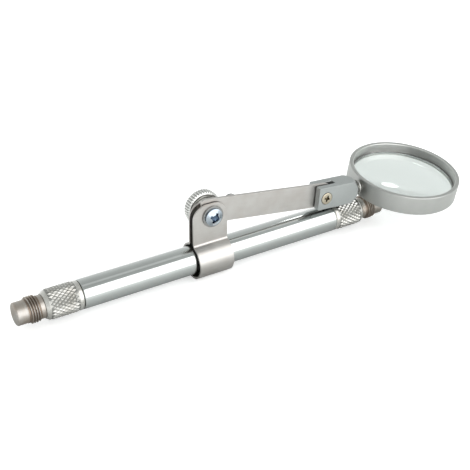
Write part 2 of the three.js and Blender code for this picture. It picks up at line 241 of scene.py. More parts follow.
def rounded(points, radius, steps=3, closed=False):
    """The outline with every corner eased by a curve that starts radius before it."""
    out = []
    last = len(points) - 1
    for i, here in enumerate(points):
        if not closed and i in (0, last):
            out.append(tuple(here))
            continue
        p = Vector(here)
        before, after = Vector(points[i - 1]) - p, Vector(points[(i + 1) % len(points)]) - p
        start = p + before.normalized() * min(radius, 0.45 * before.length)
        end = p + after.normalized() * min(radius, 0.45 * after.length)
        for step in range(steps + 1):
            t = step / steps
            out.append(tuple(start.lerp(p, t).lerp(p.lerp(end, t), t)))
    return out


def arc(centre, radius, start, end, steps):
    """Points on an arc from start to end, in degrees."""
    for step in range(steps + 1):
        a = math.radians(start + (end - start) * step / steps)
        yield centre[0] + radius * math.cos(a), centre[1] + radius * math.sin(a)


def turned(profile, sides, axis="z", hollow=False, reach=None):
    """A turned shape from (radius, height) points. A hollow one closes on itself; reach(radius,
    side) can change a radius round the shape, as teeth do."""
    verts, rings, faces = [], [], []
    for r, h in profile:
        count = sides if r > 1e-6 else 1
        rings.append(range(len(verts), len(verts) + count))
        for i in range(count):
            a = 2 * math.pi * i / sides
            radius = reach(r, i) if reach else r
            verts.append((radius * math.cos(a), radius * math.sin(a), h))
    for lower, upper in zip(rings, rings[1:] + rings[:1] if hollow else rings[1:]):
        for i in range(sides):
            j = (i + 1) % sides
            if len(lower) == 1:
                faces.append([lower[0], upper[j], upper[i]])
            elif len(upper) == 1:
                faces.append([lower[i], lower[j], upper[0]])
            else:
                faces.append([lower[i], lower[j], upper[j], upper[i]])
    return moved((verts, faces), TO_AXIS[axis])


def lofted(sections):
    """A skin through closed sections that have as many points each, capped at both ends."""
    count = len(sections[0])
    verts = [point for section in sections for point in section]
    faces = []
    for i in range(len(sections) - 1):
        here, there = i * count, (i + 1) * count
        for j in range(count):
            k = (j + 1) % count
            faces.append([here + j, here + k, there + k, there + j])
    faces.append(list(range(count)))
    faces.append(list(range(len(verts) - count, len(verts))))
    return verts, faces


def from_bmesh(bm):
    bm.verts.index_update()
    shape = [v.co.copy() for v in bm.verts], [[v.index for v in f.verts] for f in bm.faces]
    bm.free()
    return shape


def slab(outline, thickness, edge):
    """A flat outline in the XY plane, as thick as that about z = 0, with rounded edges."""
    bm = bmesh.new()
    face = bm.faces.new([bm.verts.new((x, y, -thickness / 2)) for x, y in outline])
    top = bmesh.ops.extrude_face_region(bm, geom=[face])["geom"]
    raised = [v for v in top if isinstance(v, bmesh.types.BMVert)]
    bmesh.ops.translate(bm, vec=(0, 0, thickness), verts=raised)
    bmesh.ops.recalc_face_normals(bm, faces=bm.faces)
    rims = [e for e in bm.edges if e.calc_face_angle(0) > math.radians(50)]
    bmesh.ops.bevel(bm, geom=rims, offset=edge, offset_type="OFFSET", segments=2, profile=0.6,
                    affect="EDGES", clamp_overlap=True)
    return from_bmesh(bm)


def brick(low, high):
    bm = bmesh.new()
    bmesh.ops.create_cube(bm, size=1)
    for v in bm.verts:
        v.co = Vector([low[i] if v.co[i] < 0 else high[i] for i in range(3)])
    return from_bmesh(bm)


def raw_mesh(shape, scale=1.0):
    """A mesh with its doubled points merged and its faces turned outwards."""
    verts, faces = shape
    mesh = bpy.data.meshes.new("raw")
    mesh.from_pydata([Vector(v) * scale for v in verts], [], faces)
    bm = bmesh.new()
    bm.from_mesh(mesh)
    bmesh.ops.remove_doubles(bm, verts=bm.verts, dist=1e-4 * scale)
    bmesh.ops.recalc_face_normals(bm, faces=bm.faces)
    bm.to_mesh(mesh)
    bm.free()
    return mesh


def in_order(verts, faces):
    """The same shape with its points and faces sorted, because the solver's order can vary."""
    places = sorted(range(len(verts)), key=lambda i: [round(c, 4) for c in verts[i]])
    rank = {old: new for new, old in enumerate(places)}
    loops = []
    for face in faces:
        loop = [rank[i] for i in face]
        first = loop.index(min(loop))
        loops.append(loop[first:] + loop[:first])
    return [verts[i] for i in places], sorted(loops)


def combined(shape, tools, operation="DIFFERENCE"):
    """The shape with the tools cut out of it, or what it shares with them."""
    helpers = []
    for number, part in enumerate([shape, *tools]):
        helper = bpy.data.objects.new(f"helper{number}", raw_mesh(part))
        scene.collection.objects.link(helper)
        helpers.append(helper)
    for tool in helpers[1:]:
        modifier = helpers[0].modifiers.new("combine", "BOOLEAN")
        modifier.operation = operation
        modifier.solver = "EXACT"
        modifier.object = tool
    depsgraph = bpy.context.evaluated_depsgraph_get()
    mesh = helpers[0].evaluated_get(depsgraph).to_mesh()
    result = in_order([v.co.copy() for v in mesh.vertices], [list(p.vertices) for p in mesh.polygons])
    for helper in helpers:
        data = helper.data
        bpy.data.objects.remove(helper)
        bpy.data.meshes.remove(data)
    return result


# ---------------------------------------------------------------- knurl and thread
def knurl(start, end, rows, columns, root, crest, flat=0.13):
    """A band of blunt pyramids in a diamond lattice round Z. The grooves between them cross at the
    root points; the tops stand at the crest radius."""
    verts, faces, index = [], [], {}

    def at(row, column, radius):
        key = (row, column % columns)
        if key not in index:
            a = 2 * math.pi * column / columns
            index[key] = len(verts)
            verts.append((radius * math.cos(a), radius * math.sin(a), start + (end - start) * row / rows))
        return index[key]

    for row in range(rows + 1):
        for column in range(columns):
            if (row + column) % 2 == 0:
                continue
            sides = [(row, column + 1), (row + 1, column), (row, column - 1), (row - 1, column)]
            if row in (0, rows):
                inner = 1 if row == 0 else 3
                for k in (0, 2):
                    faces.append([at(row, column, root), at(*sides[k], root), at(*sides[inner], root)])
                continue
            tops = [at(row + flat * (r - row), column + flat * (c - column), crest) for r, c in sides]
            faces.append(tops)
            for k in range(4):
                n = (k + 1) % 4
                faces.append([at(*sides[k], root), at(*sides[n], root), tops[n], tops[k]])
    return verts, faces


THREAD_FORM = ((0.0, 0.0), (0.14, 0.0), (0.43, 1.0), (0.57, 1.0), (0.86, 0.0))


def thread(start, turns, pitch, root, crest, sides):
    """The skin of a screw thread round Z that fades out quickly at both ends. It runs
    from its start to turns + 1 pitches further, and ends in a plain ring at each side."""
    form = len(THREAD_FORM)
    rows = form * turns
    lead = 0.12 * pitch
    verts, faces = [], []
    for i in range(sides):
        a = 2 * math.pi * i / sides
        for row in range(rows + 1):
            turn = row // form + i / sides
            along, height = THREAD_FORM[row % form]
            fade = max(0.0, min(1.0, 6 * turn, 6 * (turns - turn)))
            radius = root + (crest - root) * height * fade
            verts.append((radius * math.cos(a), radius * math.sin(a), start + pitch * (turn + along)))
    base = len(verts)
    for z in (start - lead, start + pitch * (turns + 1) + lead):
        for i in range(sides):
            a = 2 * math.pi * i / sides
            verts.append((root * math.cos(a), root * math.sin(a), z))

    def at(i, row):
        return i * (rows + 1) + row

    last = sides - 1
    for i in range(last):
        for row in range(rows):
            faces.append([at(i, row), at(i + 1, row), at(i + 1, row + 1), at(i, row + 1)])
        faces.append([base + i, base + i + 1, at(i + 1, 0), at(i, 0)])
        faces.append([at(i, rows), at(i + 1, rows), base + sides + i + 1, base + sides + i])
    for row in range(rows - form):
        faces.append([at(last, row), at(0, row + form), at(0, row + form + 1), at(last, row + 1)])
    faces.append([base + last, base] + [at(0, row) for row in range(form + 1)] + [at(last, 0)])
    faces.append([at(0, rows)] + [at(last, rows - form + row) for row in range(form + 1)]
                 + [base + sides + last, base + sides])
    return verts, faces


def cross_recess(top, size, depth):
    """The tool that cuts a cross recess into a head whose top is at that height on Z: two
    tapered wings and a point."""
    shapes = []
    half, thick = size / 2, 0.24 * size
    for turn in (0, 90):
        wing = brick((-half, -thick / 2, top - depth), (half, thick / 2, top + 1))
        wing = [Vector((v[0] * (0.55 if v[2] < top else 1), v[1] * (0.7 if v[2] < top else 1), v[2]))
                for v in wing[0]], wing[1]
        shapes.append(moved(wing, Matrix.Rotation(math.radians(turn), 4, "Z")))
    point = [(0, top - 1.35 * depth), (0.2 * size, top - 0.75 * depth), (0.3 * size, top + 1), (0, top + 1)]
    shapes.append(turned(point, 16))
    return shapes


# ---------------------------------------------------------------- materials
FINE_SHARE = 0.35              # how much of a metal's tone the fine grain makes


def principled(name):
    material = bpy.data.materials.new(name)
    material.use_nodes = True
    nodes = material.node_tree.nodes
    return material, nodes, material.node_tree.links, nodes["Principled BSDF"]


def scaled_noise(nodes, links, coordinates, scale, detail=4.0, roughness=0.55):
    """Noise stretched by a scale in features per metre along each axis."""
    mapping = nodes.new("ShaderNodeMapping")
    mapping.inputs["Scale"].default_value = scale
    noise = nodes.new("ShaderNodeTexNoise")
    noise.inputs["Scale"].default_value = 1.0
    noise.inputs["Detail"].default_value = detail
    noise.inputs["Roughness"].default_value = roughness
    links.new(coordinates, mapping.inputs["Vector"])
    links.new(mapping.outputs["Vector"], noise.inputs["Vector"])
    return noise.outputs["Fac"]


def turning_coordinates(nodes, links, coordinates, axis):
    """(height, radius, 0) about an axis, in which noise becomes the rings left by a lathe."""
    split = nodes.new("ShaderNodeSeparateXYZ")
    links.new(coordinates, split.inputs["Vector"])
    across = [name for name in "XYZ" if name != axis.upper()]
    flat = nodes.new("ShaderNodeCombineXYZ")
    links.new(split.outputs[across[0]], flat.inputs["X"])
    links.new(split.outputs[across[1]], flat.inputs["Y"])
    length = nodes.new("ShaderNodeVectorMath")
    length.operation = "LENGTH"
    links.new(flat.outputs["Vector"], length.inputs[0])
    rings = nodes.new("ShaderNodeCombineXYZ")
    links.new(split.outputs[axis.upper()], rings.inputs["X"])
    links.new(length.outputs["Value"], rings.inputs["Y"])
    return rings.outputs["Vector"]


def between(nodes, links, value, low, high):
    node = nodes.new("ShaderNodeMapRange")
    node.inputs["From Min"].default_value = 0.3
    node.inputs["From Max"].default_value = 0.7
    node.inputs["To Min"].default_value = low
    node.inputs["To Max"].default_value = high
    links.new(value, node.inputs["Value"])
    return node.outputs["Result"]


def painted_hollow_shading(nodes, links, rings, color, inner):
    """The colour with a second one where a turned piece is cut into: painted shade in its grooves,
    roots and recesses, or painted light on a ring's bore. inner is (the second colour, the depths
    at which it starts and is full, the heights between which it lies, the skin it is under). The
    skin is (radius, None) for a round side, or (height, bulge) for an end that is domed."""
    painted_tone, (start, full), (low, high), (skin, bulge) = inner
    split = nodes.new("ShaderNodeSeparateXYZ")
    links.new(rings, split.inputs["Vector"])
    height, radius = split.outputs["X"], split.outputs["Y"]

    def math_node(operation, first, second):
        node = nodes.new("ShaderNodeMath")
        node.operation = operation
        for socket, value in zip(node.inputs, (first, second)):
            if isinstance(value, float):
                socket.default_value = value
            else:
                links.new(value, socket)
        return node.outputs[0]

    if bulge is None:
        depth = math_node("SUBTRACT", skin * MM, radius)
    else:
        dome = math_node("MULTIPLY", math_node("MULTIPLY", radius, radius), bulge / MM)
        depth = math_node("SUBTRACT", math_node("SUBTRACT", height, skin * MM), dome)
    share = nodes.new("ShaderNodeMapRange")
    share.inputs["From Min"].default_value = start * MM
    share.inputs["From Max"].default_value = full * MM
    links.new(depth, share.inputs["Value"])
    inside = math_node("MULTIPLY", math_node("GREATER_THAN", height, low * MM),
                       math_node("LESS_THAN", height, high * MM))
    mix = nodes.new("ShaderNodeMix")
    mix.data_type = "RGBA"
    links.new(math_node("MULTIPLY", share.outputs["Result"], inside), mix.inputs["Factor"])
    links.new(color, mix.inputs["A"])
    mix.inputs["B"].default_value = list(painted_tone) + [1]
    return mix.outputs["Result"]


def metal(name, color, roughness, grain, bump, spread=0.06, tone=0.08, axis=None, stain=None,
          inner=None):
    """A metal whose fine grain changes its roughness and height, and whose broad, faint patches
    change its tone. With an axis the grain is turned rings about it. A stain colour tints some
    of the patches; inner paints shade into hollows, or light onto a ring's bore, as the helper above says."""
    material, nodes, links, shader = principled(name)
    coordinates = nodes.new("ShaderNodeTexCoord").outputs["Object"]
    grain_space = turning_coordinates(nodes, links, coordinates, axis) if axis else coordinates
    fine = scaled_noise(nodes, links, grain_space, grain)
    broad = scaled_noise(nodes, links, coordinates, (260, 260, 260), detail=3.0)
    ramp = nodes.new("ShaderNodeValToRGB")
    ramp.color_ramp.elements[0].position = 0.34
    ramp.color_ramp.elements[0].color = [c * (1 - tone) for c in (stain or color)] + [1]
    ramp.color_ramp.elements[1].position = 0.62
    ramp.color_ramp.elements[1].color = list(color) + [1]
    mix = nodes.new("ShaderNodeMath")
    mix.operation = "MULTIPLY_ADD"
    mix.inputs[1].default_value = FINE_SHARE
    links.new(fine, mix.inputs[0])
    share = nodes.new("ShaderNodeMath")
    share.operation = "MULTIPLY"
    share.inputs[1].default_value = 1 - FINE_SHARE
    links.new(broad, share.inputs[0])
    links.new(share.outputs[0], mix.inputs[2])
    links.new(mix.outputs[0], ramp.inputs["Fac"])
    shade = ramp.outputs["Color"]
    # painted shade in the hollows, or painted light on a ring's bore
    if inner:
        shade = painted_hollow_shading(nodes, links, grain_space, shade, inner)
    links.new(shade, shader.inputs["Base Color"])
    links.new(between(nodes, links, mix.outputs[0], roughness - spread, roughness + spread),
              shader.inputs["Roughness"])
    height = nodes.new("ShaderNodeBump")
    height.inputs["Strength"].default_value = bump
    height.inputs["Distance"].default_value = 0.02 * MM
    links.new(fine, height.inputs["Height"])
    links.new(height.outputs["Normal"], shader.inputs["Normal"])
    shader.inputs["Metallic"].default_value = 1.0
    return material


def clear_glass():
    material, nodes, links, shader = principled("clear_glass")
    coordinates = nodes.new("ShaderNodeTexCoord").outputs["Object"]
    smear = scaled_noise(nodes, links, coordinates, (150, 90, 150), detail=2.0)
    links.new(between(nodes, links, smear, 0.0, 0.03), shader.inputs["Roughness"])
    ramp = nodes.new("ShaderNodeValToRGB")
    ramp.color_ramp.elements[0].color = (0.82, 0.865, 0.845, 1)
    ramp.color_ramp.elements[1].color = (0.845, 0.88, 0.865, 1)
    links.new(smear, ramp.inputs["Fac"])
    links.new(ramp.outputs["Color"], shader.inputs["Base Color"])
    shader.inputs["Transmission Weight"].default_value = 1.0
    shader.inputs["IOR"].default_value = 1.52
    return material


materials = {
    "polished_tube": metal("polished_tube", (0.60, 0.62, 0.61), 0.09, (40, 9000, 9000), 0.04,
                           spread=0.03, tone=0.04),
    "nickel_plate": metal("nickel_plate", (0.60, 0.595, 0.57), 0.25, (9000, 9000, 400), 0.25,
                          tone=0.10, axis="x", stain=(0.55, 0.52, 0.47)),
    # painted shade: the knurl's grooves are darkened by their depth under the crest
    "nickel_knurl": metal("nickel_knurl", (0.76, 0.755, 0.73), 0.28, (9000, 9000, 400), 0.25,
                          tone=0.10, axis="x", stain=(0.55, 0.52, 0.47),
                          inner=((0.33, 0.327, 0.31), (0.08, 0.27), (KNURL_START, KNURL_END),
                                (KNURL_R, None))),
    # painted shade: the thread's roots are darkened by their depth under the crest
    "nickel_thread": metal("nickel_thread", (0.50, 0.48, 0.455), 0.43, (9000, 9000, 400), 0.3,
                           tone=0.12, axis="x", stain=(0.42, 0.34, 0.27),
                           inner=((0.23, 0.185, 0.15), (0.10, 0.36), (NOSE_LENGTH + 0.1, 6.35),
                                 (THREAD_R, None))),
    # painted shade: the grooves between the nut's teeth are darkened
    "nickel_nut": metal("nickel_nut", (0.74, 0.735, 0.715), 0.20, (9000, 9000, 400), 0.25,
                        tone=0.08, axis="y",
                        inner=((0.24, 0.24, 0.23), (0.08, 0.25),
                              (NUT_FACE + NUT_HUB_H + 0.5, NUT_END - 0.35), (NUT_R, None))),
    "satin_sheet": metal("satin_sheet", (0.535, 0.52, 0.50), 0.34, (150, 7000, 7000), 0.25,
                         tone=0.06, stain=(0.515, 0.485, 0.46)),
    "block_metal": metal("block_metal", (0.43, 0.45, 0.445), 0.40, (5000, 5000, 900), 0.3),
    # painted light: the ring's bore, lip and the inner edge of its rim are made lighter than its outside
    "ring_metal": metal("ring_metal", (0.45, 0.455, 0.44), 0.38, (9000, 9000, 400), 0.3, axis="z",
                        inner=((0.64, 0.645, 0.625), (0.9, 1.2), (-RING_HALF_H, RING_HALF_H),
                              (RING_R, None))),
    # painted shade: the cross recess in the head is darkened by its depth under the dome
    "zinc_screw": metal("zinc_screw", (0.40, 0.45, 0.50), 0.18, (5000, 5000, 5000), 0.2, axis="y",
                        inner=((0.09, 0.13, 0.19), (0.05, 0.22),
                              (clamp_front - 0.1, clamp_front + 1.25), (clamp_front, 0.165))),
    # painted shade: the cross recess in the head is darkened by its depth
    "brass_screw": metal("brass_screw", (0.58, 0.54, 0.44), 0.22, (5000, 5000, 5000), 0.2,
                         axis="y", stain=(0.46, 0.38, 0.28),
                         inner=((0.10, 0.08, 0.05), (0.12, 0.40),
                               (clevis_front - 0.1, clevis_front + 0.8), (clevis_front, 0.0))),
    "spring_steel": metal("spring_steel", (0.30, 0.30, 0.295), 0.26, (5000, 5000, 5000), 0.2),
    "clear_glass": clear_glass(),
}


# ---------------------------------------------------------------- making pieces
def build(name, shape, place, body, slot, node, smooth=32.0, weighted=False, finish=None):
    """Makes the object, sets it in place under its body, gives it its finish, and hides the CAD node it
    stands for.
    A finish other than the slot's own is how this one piece looks: worn, brighter, or with painted shade in
    its grooves."""
    mesh = raw_mesh(shape, MM)
    mesh.name = name
    mesh.polygons.foreach_set("use_smooth", [True] * len(mesh.polygons))
    mesh.set_sharp_from_angle(angle=math.radians(smooth))
    mesh.materials.append(materials[finish or slot])
    piece = bpy.data.objects.new(name, mesh)
    scene.collection.objects.link(piece)
    piece.matrix_world = place
    if weighted:
        modifier = piece.modifiers.new("weighted_normals", "WEIGHTED_NORMAL")
        modifier.keep_sharp = True
    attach(piece, body)
    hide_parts(node)
    return piece


# ---------------------------------------------------------------- handle
def tube_shape():
    inner = TUBE_R - TUBE_WALL
    section = [(inner, tube_low.x), (TUBE_R, tube_low.x), (TUBE_R, tube_high.x), (inner, tube_high.x)]
    return turned(rounded(section, SEAM_BEVEL, closed=True), 128, "x", hollow=True)


def plug_shape():
    start = NOSE_LENGTH
    lead = 0.12 * THREAD_PITCH
    thread_start = start + lead
    pitches = THREAD_TURNS + 1
    pitch = (THREAD_PITCH * pitches - 2 * lead) / pitches
    ring_start = thread_start - 0.12 * pitch
    ring_end = thread_start + pitch * pitches + 0.12 * pitch
    nose = [(0, 0), (NOSE_R - 0.28, 0), (NOSE_R, 0.28), (NOSE_R, NOSE_LENGTH), (THREAD_ROOT_R, ring_start)]
    tail = [(THREAD_ROOT_R, ring_end), (NECK_R, ring_end + 0.1), (NECK_R, NECK_END - FIT),
            (CORE_R, NECK_END - FIT), (CORE_R, KNURL_END), (0, KNURL_END)]
    skin = joined(
        turned(rounded(nose, 0.12), END_SIDES),
        thread(thread_start, THREAD_TURNS, pitch, THREAD_ROOT_R, THREAD_R, END_SIDES),
        turned(rounded(tail, 0.08), END_SIDES),
    )
    return moved(skin, TO_AXIS["x"])


def collar_shape():
    root = KNURL_R - KNURL_DEPTH
    bore = CORE_R + FIT
    spigot = TUBE_R - TUBE_WALL - FIT
    mouth = [(bore, NECK_END + 0.9), (NECK_R - 0.1, NECK_END), (NECK_R + 0.2, NECK_END),
             (TUBE_R - 0.02, KNURL_START - 0.12), (root, KNURL_START)]
    band = [(root, KNURL_END), (BAND_R - 0.14, KNURL_END + 0.08), (BAND_R, KNURL_END + 0.2),
            (BAND_R, END_LENGTH - SEAM_BEVEL), (BAND_R - SEAM_BEVEL, END_LENGTH),
            (spigot, END_LENGTH), (spigot, SPIGOT_END), (bore, SPIGOT_END), (bore, NECK_END + 0.9)]
    skin = joined(
        turned(rounded(mouth, 0.08), KNURL_COLUMNS),
        knurl(KNURL_START, KNURL_END, KNURL_ROWS, KNURL_COLUMNS, root, KNURL_R),
        turned(rounded(band, 0.1), KNURL_COLUMNS),
    )
    return moved(skin, TO_AXIS["x"])


build("polished_tube", tube_shape(), HANDLE, "handle", "polished_tube", "handle_tube")
plug, collar = plug_shape(), collar_shape()
for side, place in (("near", HANDLE), ("far", FAR_END)):
    build(f"{side}_end_thread", plug, place, "handle", "nickel_plate", f"{side}_threaded_plug",
          finish="nickel_thread")
    build(f"{side}_knurl", collar, place, "handle", "nickel_plate", f"{side}_knurled_collar",
          smooth=18.0, finish="nickel_knurl")


# ---------------------------------------------------------------- clip
def clip_line():
    """The sheet's middle line across the handle as (y, z), from the rear ear's top down, round the
    loop and up the front ear."""
    reach = LOOP_R + EAR_BEND_R
    bend_y = EAR_HALF + EAR_BEND_R
    bend_z = LOOP_Z + math.sqrt(reach ** 2 - bend_y ** 2)
    bend = math.degrees(math.atan2(bend_z - LOOP_Z, bend_y))
    ear_y = EAR_HALF - SHEET / 2
    corner_z = EAR_TOP - EAR_CORNER_R
    half = [(ear_y, corner_z + z) for _, z in arc((0, 0), EAR_CORNER_R, 88, 0, 12)]
    half += [(ear_y, corner_z + (bend_z - corner_z) * t / 4) for t in (1, 2, 3)]
    half += list(arc((bend_y, bend_z), EAR_BEND_R + SHEET / 2, 180, 180 + bend, 8))
    half += list(arc((0, LOOP_Z), LOOP_R - SHEET / 2, bend, -90, 28))[1:]
    return half + [(-y, z) for y, z in reversed(half[:-1])]


def clip_shape():
    line = clip_line()
    corner_z = EAR_TOP - EAR_CORNER_R
    section_edge, sections = 0.14, []
    for i, (y, z) in enumerate(line):
        before, after = line[max(i - 1, 0)], line[min(i + 1, len(line) - 1)]
        along = Vector((after[0] - before[0], after[1] - before[1])).normalized()
        normal = Vector((-along.y, along.x))
        rise = min(max(z - corner_z, 0) / EAR_CORNER_R, 1)
        inset = EAR_CORNER_R * (1 - math.sqrt(1 - rise ** 2))
        low, high, half = inset, CLIP_WIDTH - inset, SHEET / 2
        section = rounded([(low, -half), (high, -half), (high, half), (low, half)], section_edge,
                          closed=True)
        sections.append([(x, y + normal.x * n, z + normal.y * n) for x, n in section])
    return lofted(sections)


build("bent_clip", clip_shape(), CLIP, "clip", "satin_sheet", "tube_clip", weighted=True)


# ---------------------------------------------------------------- clamp screw, washers, thumb nut
SCREW_SIDES = 48


def clamp_screw_shape():
    seat = clamp_front + SCREW_HEAD_H
    pitch, turns = 0.5, 6
    thread_from = clamp_tip - 0.3 - pitch * (turns + 1.12)
    root = SCREW_R - 0.24
    crown_r, widened = 1.75, 1.42
    head = [(r * widened, h) for r, h in arc((0, clamp_front + crown_r), crown_r, -90, -42, 6)]
    head += [(SCREW_HEAD_R, clamp_front + 0.85), (SCREW_HEAD_R, seat), (SCREW_R, seat)]
    shank = [(SCREW_R, thread_from - 0.3), (root, thread_from - 0.12 * pitch)]
    tip_start = thread_from + pitch * (turns + 1.12)
    tip = [(root, tip_start), (root, clamp_tip - 0.12), (root - 0.15, clamp_tip), (0, clamp_tip)]
    head[0] = (0, clamp_front)
    body = joined(
        turned(head + shank, SCREW_SIDES),
        thread(thread_from, turns, pitch, root, SCREW_R - 0.02, SCREW_SIDES),
        turned(tip, SCREW_SIDES),
    )
    flip = Matrix.Scale(-1, 4, (0, 0, 1))
    tools = [moved(tool, flip) for tool in cross_recess(-clamp_front, 4.5, 0.85)]
    turn = Matrix.Rotation(math.radians(28), 4, "Z")
    return moved(combined(body, [moved(tool, turn) for tool in tools]), TO_AXIS["y"])


def washer_shape(start, bore, outer, thick, axis, sides=48):
    section = [(bore, start), (outer, start), (outer, start + thick), (bore, start + thick)]
    return turned(rounded(section, 0.08, closed=True), sides, axis, hollow=True)


def thumb_nut_shape():
    steps = 6
    depth = 0.25

    def teeth(radius, side):
        if radius < NUT_R - 0.3:
            return radius
        phase = (side % steps) / steps
        return radius - depth * abs(2 * phase - 1) ** 2 * min(1, (radius - NUT_R + 0.3) / 0.25)

    rim = NUT_FACE + NUT_HUB_H
    bore = SCREW_R + 0.05
    section = [(bore, NUT_FACE), (NUT_HUB_R, NUT_FACE), (NUT_HUB_R, rim + 0.2), (3.75, rim + 0.2),
               (4.05, rim), (4.5, rim), (NUT_R, rim + 0.5), (NUT_R, NUT_END - 0.35),
               (4.75, NUT_END), (3.1, NUT_END), (2.9, NUT_END - 0.25), (bore + 0.35, NUT_END - 0.25),
               (bore, NUT_END - 0.6)]
    return turned(rounded(section, 0.1, closed=True), NUT_TEETH * steps, "y", hollow=True, reach=teeth)


build("clamp_screw_cross", clamp_screw_shape(), CLAMP, "clip", "zinc_screw", "clamp_screw", smooth=40.0)
build("front_washer", washer_shape(-EAR_HALF - FIT - WASHER_T, SCREW_R + FIT, WASHER_R, WASHER_T, "y"),
      CLAMP, "clip", "spring_steel", "screw_washer")
build("rear_washer", washer_shape(EAR_HALF + FIT, SCREW_R + FIT, WASHER_R, WASHER_T, "y"),
      CLAMP, "clip", "spring_steel", "nut_washer")
build("knurled_nut", thumb_nut_shape(), CLAMP, "nut", "nickel_plate", "thumb_nut", smooth=30.0,
      finish="nickel_nut")


# ---------------------------------------------------------------- arm and stud
def upright(shape):
    """Stands a shape drawn in the XY plane up into the XZ plane."""
    return moved(shape, Matrix.Rotation(math.pi / 2, 4, "X"))


def arm_shape():
    low, high = ARM_CENTRE - ARM_HALF_H, ARM_CENTRE + ARM_HALF_H
    tail = rounded([(0, high), (-ARM_TAIL, high), (-ARM_TAIL, low), (0, low)], 1.1, steps=5)
    end = list(arc((ARM_LENGTH, ARM_CENTRE), ARM_HALF_H, -90, 90, 24))
    return upright(slab(tail + end, ARM_THICK, 0.1))


def stud_shape():
    seat = ARM_THICK / 2
    section = [(0, seat), (STUD_R, seat), (STUD_R, seat + 0.65), (STUD_R - 0.5, seat + STUD_H + FIT),
               (0, seat + STUD_H + FIT)]
    return turned(rounded(section, 0.2, steps=4), 48, "y")


build("flat_arm", arm_shape(), ARM, "arm", "satin_sheet", "folding_arm", weighted=True)
build("arm_stud", stud_shape(), ARM @ Matrix.Translation((STUD_U * MM, 0, STUD_W * MM)), "arm",
      "spring_steel", "stop_stud")


# ---------------------------------------------------------------- clevis block
def block_shape():
    w, s = BLOCK_HALF_W, SLOT_HALF
    fork = [(-BLOCK_BACK, -w), (BLOCK_FRONT, -w), (BLOCK_FRONT, w), (-BLOCK_BACK, w),
            (-BLOCK_BACK, s), (SLOT_DEPTH, s), (SLOT_DEPTH, -s), (-BLOCK_BACK, -s)]
    bar = slab(fork, 2 * BLOCK_HALF_H, 0.16)
    shoulder = Vector((DOME_R, BLOCK_FRONT - DOME_LENGTH))
    bulge = Vector((4.0, BLOCK_FRONT - 1.0))
    tip = Vector((2.5, BLOCK_FRONT))
    steps = [step / 10 for step in range(11)]
    curve = [tuple(shoulder.lerp(bulge, t).lerp(bulge.lerp(tip, t), t)) for t in steps]
    behind = -BLOCK_BACK - 1
    dome = turned([(0, behind), (DOME_R, behind)] + curve + [(0, BLOCK_FRONT)], 96, "x")
    sink_r, sink_floor = CLEVIS_HEAD_R + 0.1, HEAD_SINK - w
    sink = turned([(0, -w - 1), (sink_r, -w - 1), (sink_r, sink_floor), (0, sink_floor)], 48, "y")
    bore_r, beyond = STEM_R + PLAY, BLOCK_FRONT + 1
    bore = turned([(0, STEM_GROOVE), (bore_r, STEM_GROOVE), (bore_r, beyond), (0, beyond)], 48, "x")
    grub = moved(turned([(0, -BLOCK_HALF_H - 1), (GRUB_R + FIT, -BLOCK_HALF_H - 1), (GRUB_R + FIT, -1.5),
                         (0, -1.5)], 32), Matrix.Translation((STEM_GROOVE, 0, 0)))
    return combined(combined(bar, [dome], "INTERSECT"), [sink, bore, grub])


def clevis_screw_shape():
    top = clevis_front
    seat = 0.45 - BLOCK_HALF_W
    tail = BLOCK_HALF_W - TAIL_SUNK
    section = [(0, top), (CLEVIS_HEAD_R, top + 0.04), (CLEVIS_HEAD_R, seat), (CLEVIS_SCREW_R, seat),
               (CLEVIS_SCREW_R, tail), (0, tail)]
    body = turned(rounded(section, 0.28, steps=4), 48)
    flip = Matrix.Scale(-1, 4, (0, 0, 1))
    turn = Matrix.Rotation(math.radians(15), 4, "Z")
    tools = [moved(tool, turn @ flip) for tool in cross_recess(-top, 2.7, 0.6)]
    return moved(combined(body, tools), TO_AXIS["y"])


def grub_screw_shape():
    low = GRUB_SUNK - BLOCK_HALF_H
    tip = 0.1 - STEM_R
    body = turned(rounded([(0, low), (GRUB_R, low), (GRUB_R, tip), (0, tip)], 0.12), 32)
    slot = brick((-2, -0.14, low - 1), (2, 0.14, low + 0.4))
    return moved(combined(body, [slot]), Matrix.Translation((STEM_GROOVE, 0, 0)))


build("fork_block", block_shape(), CLEVIS, "clevis", "block_metal", "clevis_block", weighted=True)
build("clevis_screw_cross", clevis_screw_shape(), CLEVIS, "clevis", "brass_screw", "clevis_screw",
      smooth=40.0)
build("slotted_grub_screw", grub_screw_shape(), CLEVIS, "clevis", "spring_steel", "stem_grub_screw")


# ---------------------------------------------------------------- ring and glass
RING_SIDES = 192
PIN_END = RING_CENTRE - RING_BORE_R - PIN_SHORT


def stem_shape():
    shoulder = RING_CENTRE - RING_R - FIT
    low, high = STEM_GROOVE - GROOVE_HALF, STEM_GROOVE + GROOVE_HALF
    section = [(0, STEM_START), (STEM_R, STEM_START), (STEM_R, low), (GRUB_R, low), (GRUB_R, high),
               (STEM_R, high), (STEM_R, shoulder), (PIN_R, shoulder), (PIN_R, PIN_END), (0, PIN_END)]
    return turned(rounded(section, 0.1), 48, "x")


def ring_shape():
    seat = GLASS_EDGE_BOTTOM - GLASS_SEAT_GAP
    outer = [(RING_LIP_R, -RING_HALF_H), (RING_R, -RING_HALF_H), (RING_R, RING_HALF_H),
             (RING_BORE_R, RING_HALF_H), (RING_BORE_R, seat), (RING_LIP_R, seat)]
    return turned(rounded(outer, 0.34, steps=5, closed=True), RING_SIDES, "z", hollow=True)


def glass_shape():
    steps = 14
    face = [step / steps for step in range(steps + 1)]
    below = [(GLASS_R * t, GLASS_EDGE_BOTTOM + GLASS_HOLLOW * (1 - t * t)) for t in face]
    above = [(GLASS_R * t, GLASS_EDGE_TOP + GLASS_RISE * (1 - t * t)) for t in reversed(face)]
    return turned(below + above, RING_SIDES)


